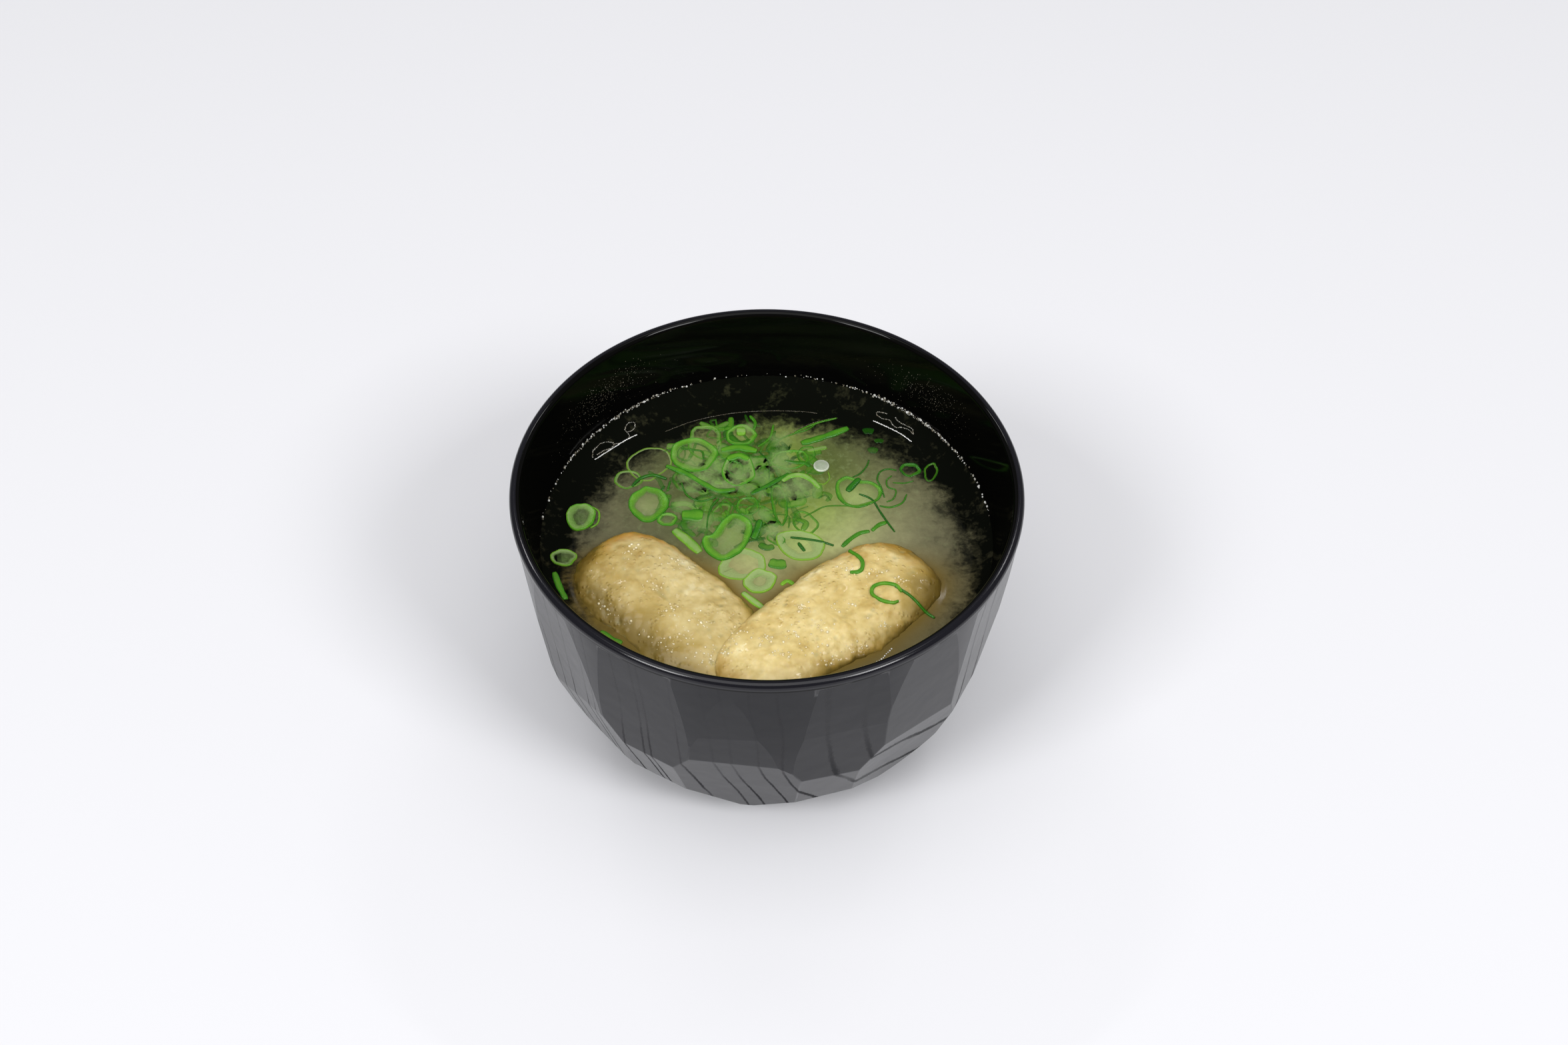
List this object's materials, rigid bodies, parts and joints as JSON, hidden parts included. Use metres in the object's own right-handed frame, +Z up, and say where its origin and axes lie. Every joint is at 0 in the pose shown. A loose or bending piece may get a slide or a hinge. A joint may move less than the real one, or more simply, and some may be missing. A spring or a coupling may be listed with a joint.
{
  "type": "miso soup",
  "caption": "Bowl of miso soup with fried tofu slices and scallion rings, in a faceted round black lacquer bowl on a foot ring.",
  "frame": {"origin": "on the table, at the centre of the bowl's foot ring", "axes": "+Z up along the axis the bowl is turned on, -Y towards the front of the bowl, where the two tofu slices meet, +X to the right"},
  "size_m": [0.115, 0.115, 0.0733],
  "materials": {
    "bowl": "satin",
    "soup": "gloss",
    "tofu": "satin",
    "scallion": "satin"
  },
  "bodies": {
    "root": {"bowl": "bowl", "soup": "soup", "fried_tofu_left": "tofu", "fried_tofu_right": "tofu", "scallion_ring_1": "scallion", "scallion_ring_2": "scallion", "scallion_ring_3": "scallion", "scallion_ring_4": "scallion", "scallion_ring_5": "scallion", "scallion_ring_6": "scallion", "scallion_ring_7": "scallion", "scallion_ring_8": "scallion", "scallion_ring_9": "scallion", "scallion_ring_10": "scallion"}
  },
  "joints": []
}
